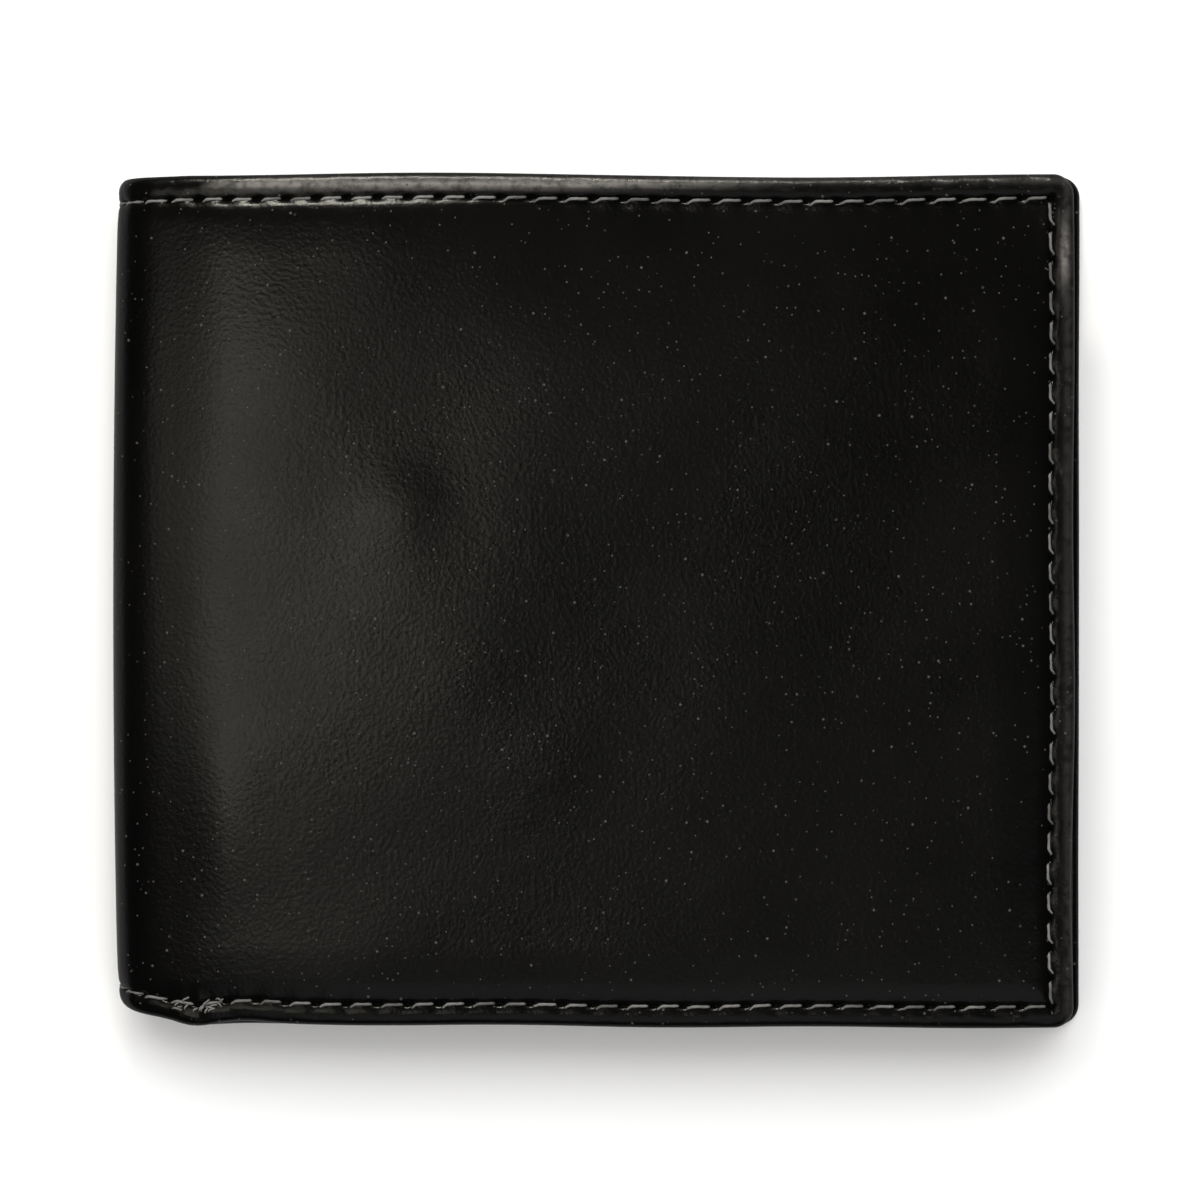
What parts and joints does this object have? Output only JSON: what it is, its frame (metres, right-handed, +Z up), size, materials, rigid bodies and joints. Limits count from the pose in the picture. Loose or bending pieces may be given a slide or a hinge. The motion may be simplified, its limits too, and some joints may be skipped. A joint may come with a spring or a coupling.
{
  "type": "bifold wallet",
  "caption": "Bifold leather wallet with turned and stitched edges, a full-width bill compartment, stepped card slots and a hidden slip pocket in each leaf; folds flat open",
  "frame": {"origin": "middle of the closed wallet's footprint, on the surface that it lies on", "axes": "+Z up through the closed wallet; +X across it, from the fold to the open edge; +Y along the fold, towards the mouth of the bill compartment"},
  "size_m": [0.108, 0.095, 0.014],
  "materials": {
    "cover_leather": "semi-gloss, fine grain",
    "inner_leather": "semi-gloss, fine grain",
    "lining_cloth": "matt plain weave",
    "stiffener": "matt fibreboard",
    "thread": "satin bonded thread"
  },
  "bodies": {
    "back_leaf": {"bill_wall_back": "inner_leather", "card_facing_lower_back": "inner_leather", "card_facing_middle_back": "inner_leather", "card_facing_top_back": "inner_leather", "cover_back": "cover_leather", "lining_back": "lining_cloth", "pocket_cloth_middle_back": "lining_cloth", "pocket_cloth_top_back": "lining_cloth", "slip_edge_lower_back": "inner_leather", "slip_edge_side_back": "inner_leather", "slip_edge_upper_back": "inner_leather", "slot_backing_back": "lining_cloth", "slot_edge_foot_back": "inner_leather", "slot_edge_inner_back": "inner_leather", "slot_edge_outer_back": "inner_leather", "stiffener_back": "stiffener", "stitches_back": "thread", "top_band_back": "inner_leather"},
    "fold_lower": {"bill_wall_fold_lower": "inner_leather", "cover_fold_lower": "cover_leather", "lining_fold_lower": "lining_cloth"},
    "fold_middle": {"bill_wall_fold_middle": "inner_leather", "cover_fold_middle": "cover_leather", "lining_fold_middle": "lining_cloth"},
    "fold_upper": {"bill_wall_fold_upper": "inner_leather", "cover_fold_upper": "cover_leather", "lining_fold_upper": "lining_cloth"},
    "front_leaf": {"bill_wall_front": "inner_leather", "card_facing_lower_front": "inner_leather", "card_facing_middle_front": "inner_leather", "card_facing_top_front": "inner_leather", "cover_front": "cover_leather", "lining_front": "lining_cloth", "pocket_cloth_middle_front": "lining_cloth", "pocket_cloth_top_front": "lining_cloth", "slip_edge_lower_front": "inner_leather", "slip_edge_side_front": "inner_leather", "slip_edge_upper_front": "inner_leather", "slot_backing_front": "lining_cloth", "slot_edge_foot_front": "inner_leather", "slot_edge_inner_front": "inner_leather", "slot_edge_outer_front": "inner_leather", "stiffener_front": "stiffener", "stitches_front": "thread", "top_band_front": "inner_leather"}
  },
  "joints": [
    {"name": "fold_bend_lower", "type": "hinge", "parent": "back_leaf", "child": "fold_lower", "pos_m": [-0.04968, 0, 0.00053], "axis": [0, -1, 0], "range_deg": [0, 45]},
    {"name": "fold_bend_middle", "type": "hinge", "parent": "fold_lower", "child": "fold_middle", "pos_m": [-0.05347, 0, 0.00432], "axis": [0, -1, 0], "range_deg": [0, 45]},
    {"name": "fold_bend_upper", "type": "hinge", "parent": "fold_middle", "child": "fold_upper", "pos_m": [-0.05347, 0, 0.00968], "axis": [0, -1, 0], "range_deg": [0, 45]},
    {"name": "fold_bend_front", "type": "hinge", "parent": "fold_upper", "child": "front_leaf", "pos_m": [-0.04968, 0, 0.01347], "axis": [0, -1, 0], "range_deg": [0, 45]}
  ],
  "couplings": [
    {"joint": "fold_bend_middle", "follows": "fold_bend_lower", "ratio": 1},
    {"joint": "fold_bend_upper", "follows": "fold_bend_lower", "ratio": 1},
    {"joint": "fold_bend_front", "follows": "fold_bend_lower", "ratio": 1}
  ]
}
